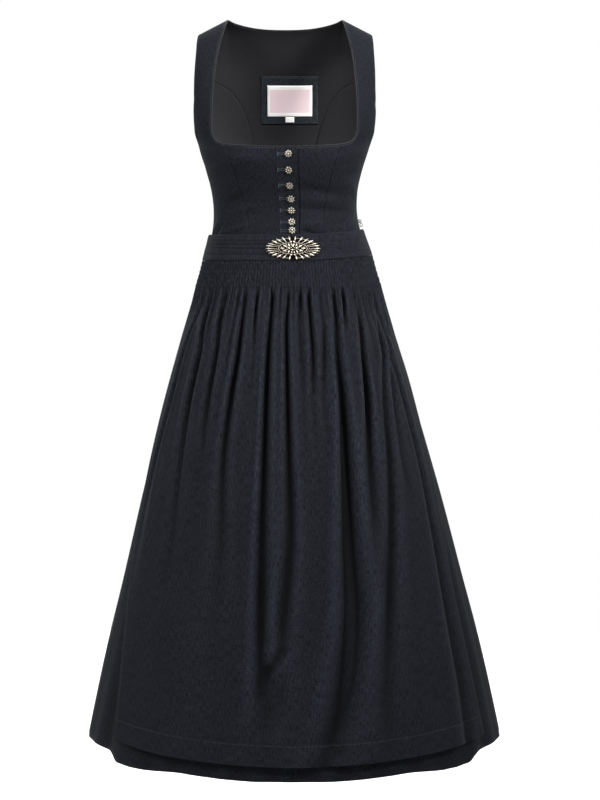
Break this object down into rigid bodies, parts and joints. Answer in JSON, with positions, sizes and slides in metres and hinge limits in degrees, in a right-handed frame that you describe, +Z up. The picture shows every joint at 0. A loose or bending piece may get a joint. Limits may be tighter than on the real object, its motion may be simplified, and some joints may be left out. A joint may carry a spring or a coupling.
{
  "type": "dirndl dress",
  "caption": "Long sleeveless dirndl with square neckline, filigree buttons down the bodice, smocked apron, belt with oval metal clasp and gathered skirt, in its worn hollow form.",
  "frame": {"origin": "midway between the two shoulder straps, at the middle of their height, where the wearer's shoulders carry the dress", "axes": "+Z up, the front faces -Y, +X is the wearer's left"},
  "size_m": [0.7485, 0.5906, 1.304],
  "materials": {
    "cloth": "matte woven dark navy",
    "apron": "matte woven dark navy with a faint sheen",
    "lining": "smooth near-black lining",
    "piping": "dark satin cord",
    "label": "pale woven tape",
    "metal": "antique silver with dark recesses"
  },
  "bodies": {
    "dress": {"bodice_front_right": "cloth", "bodice_front_left": "cloth", "bodice_side_front_right": "cloth", "bodice_side_front_left": "cloth", "bodice_back": "cloth", "bodice_side_back_right": "cloth", "bodice_side_back_left": "cloth", "lining_back": "lining", "lining_side_back_right": "lining", "lining_side_back_left": "lining", "label_patch": "cloth", "label": "label", "size_tab": "label", "neck_piping": "piping", "skirt_front_right": "cloth", "skirt_front_left": "cloth", "skirt_back_right": "cloth", "skirt_back_left": "cloth", "apron": "apron", "apron_band": "apron", "belt_right": "apron", "belt_left": "apron", "button_1": "metal", "button_2": "metal", "button_3": "metal", "button_4": "metal", "button_5": "metal", "button_6": "metal", "button_7": "metal", "clasp_right": "metal", "clasp_left": "metal", "zip_tape": "lining", "zip_slider": "metal"},
    "pull": {"zip_pull": "metal"}
  },
  "joints": [
    {"name": "zip_pull_hinge", "type": "hinge", "parent": "dress", "child": "pull", "pos_m": [0.13322, 0, -0.34319], "axis": [0, -1, 0], "range_deg": [0, 150]}
  ]
}
